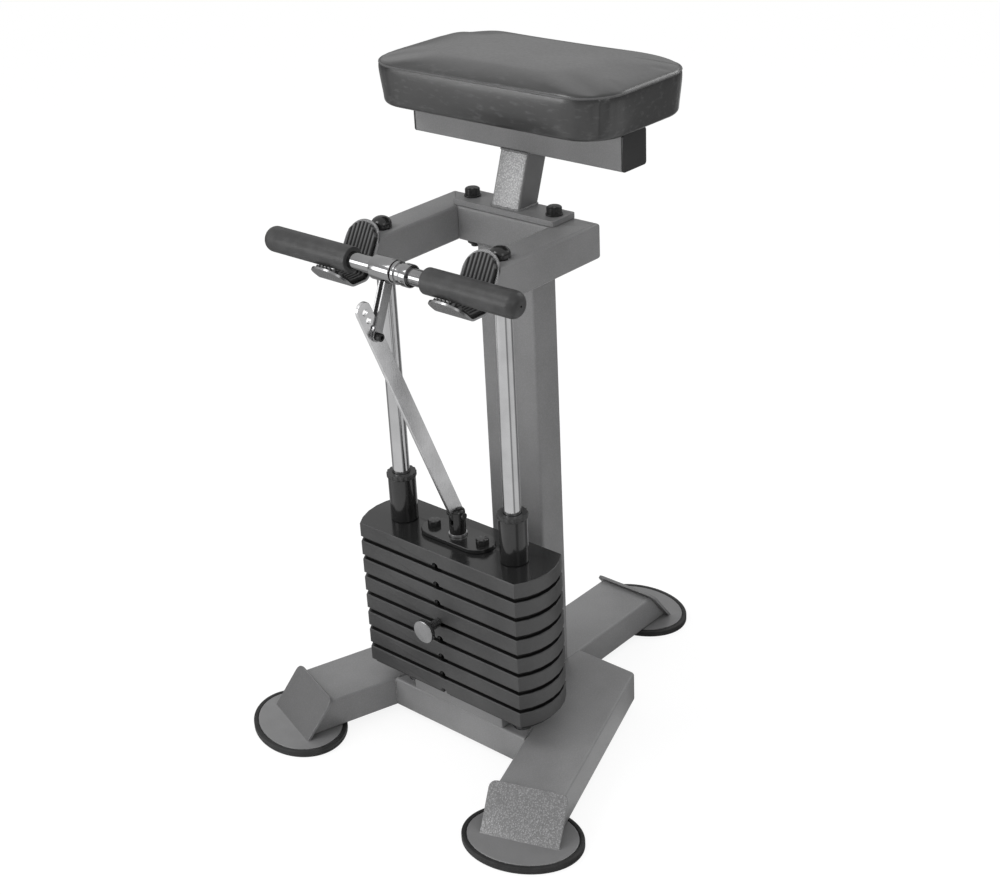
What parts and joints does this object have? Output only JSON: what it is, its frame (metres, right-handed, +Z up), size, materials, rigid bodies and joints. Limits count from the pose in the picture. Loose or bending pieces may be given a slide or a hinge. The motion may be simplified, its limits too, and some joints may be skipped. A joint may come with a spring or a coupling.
{
  "type": "standing wrist machine",
  "caption": "Standing wrist curl machine: padded forearm rest on a post, weight plates on chromed guide rods, and a short two-grip handlebar linked to the stack",
  "frame": {"origin": "on the floor under the middle of the footprint, bounding box bottom centre", "axes": "+Z up, the handlebar side faces -Y, +X to the right of someone who looks along +Y"},
  "size_m": [0.6172, 0.7045, 0.9961],
  "materials": {
    "grey_paint": "satin grey paint, lightly speckled",
    "black_enamel": "glossy black enamel",
    "stack_black": "black paint on cast plates",
    "chrome": "polished chrome",
    "bright_steel": "bright zinc and brushed steel",
    "black_fasteners": "black oxide",
    "black_plastic": "moulded black plastic",
    "black_nylon": "black nylon",
    "foot_rubber": "matt black rubber",
    "grip_rubber": "matt rubber grip",
    "pad_vinyl": "dark grey grained vinyl",
    "pad_board": "black-stained plywood",
    "cradle_steel": "dull zinc plate"
  },
  "bodies": {
    "root": {"base_cross_tube": "grey_paint", "base_leg_left": "grey_paint", "base_leg_rear": "grey_paint", "base_leg_right": "grey_paint", "cradle_left": "cradle_steel", "cradle_liner_left": "foot_rubber", "cradle_liner_right": "foot_rubber", "cradle_right": "cradle_steel", "foot_plate_left": "grey_paint", "foot_plate_rear": "grey_paint", "foot_plate_right": "grey_paint", "foot_rubber_left": "foot_rubber", "foot_rubber_rear": "foot_rubber", "foot_rubber_right": "foot_rubber", "forearm_pad": "pad_vinyl", "guide_rod_left": "chrome", "guide_rod_right": "chrome", "mount_bolt_left": "black_fasteners", "mount_bolt_right": "black_fasteners", "pad_beam": "grey_paint", "pad_beam_cap_left": "black_plastic", "pad_beam_cap_right": "black_plastic", "pad_board": "pad_board", "pad_mount_plate": "grey_paint", "rod_cap_left": "black_plastic", "rod_cap_right": "black_plastic", "slanted_post": "grey_paint", "stack_rest": "stack_black", "upright_post": "grey_paint", "weight_plate_4": "stack_black", "weight_plate_5": "stack_black", "weight_plate_6": "stack_black", "weight_plate_7": "stack_black", "yoke_arm_left": "grey_paint", "yoke_arm_right": "grey_paint", "yoke_cross_tube": "grey_paint"},
    "carriage": {"clevis_pin": "black_fasteners", "flange_bolt_left": "bright_steel", "flange_bolt_right": "bright_steel", "guide_bush_left": "black_nylon", "guide_bush_right": "black_nylon", "guide_sleeve_left": "black_enamel", "guide_sleeve_right": "black_enamel", "selector_stem": "bright_steel", "stem_flange": "black_enamel", "top_plate": "stack_black", "weight_plate_1": "stack_black", "weight_plate_2": "stack_black", "weight_plate_3": "stack_black"},
    "link": {"link_bar": "bright_steel"},
    "fork": {"fork_bolt": "black_fasteners", "fork_strip_left": "chrome", "fork_strip_right": "chrome", "hub_sleeve": "chrome"},
    "handlebar": {"grip_left": "grip_rubber", "grip_right": "grip_rubber", "handlebar": "chrome", "hub_collar": "chrome"},
    "pin": {"selector_pin": "chrome"}
  },
  "joints": [
    {"name": "carriage_lift", "type": "slide", "parent": "root", "child": "carriage", "axis": [0, 0, 1], "range_m": [0, 0.3]},
    {"name": "link_swing", "type": "hinge", "parent": "carriage", "child": "link", "pos_m": [0, -0.13867, 0.3798], "axis": [-1, 0, 0], "range_deg": [0, 14.3]},
    {"name": "fork_swing", "type": "hinge", "parent": "link", "child": "fork", "pos_m": [0, -0.26959, 0.69901], "axis": [-1, 0, 0], "range_deg": [-45.7, 0]},
    {"name": "bar_spin", "type": "hinge", "parent": "fork", "child": "handlebar", "pos_m": [0, -0.23557, 0.778], "axis": [1, 0, 0], "continuous": true},
    {"name": "pin_pull", "type": "slide", "parent": "carriage", "child": "pin", "axis": [0, -1, 0], "range_m": [0, 0.11]}
  ],
  "couplings": [
    {"joint": "fork_swing", "follows": "link_swing", "ratio": -3.19}
  ]
}
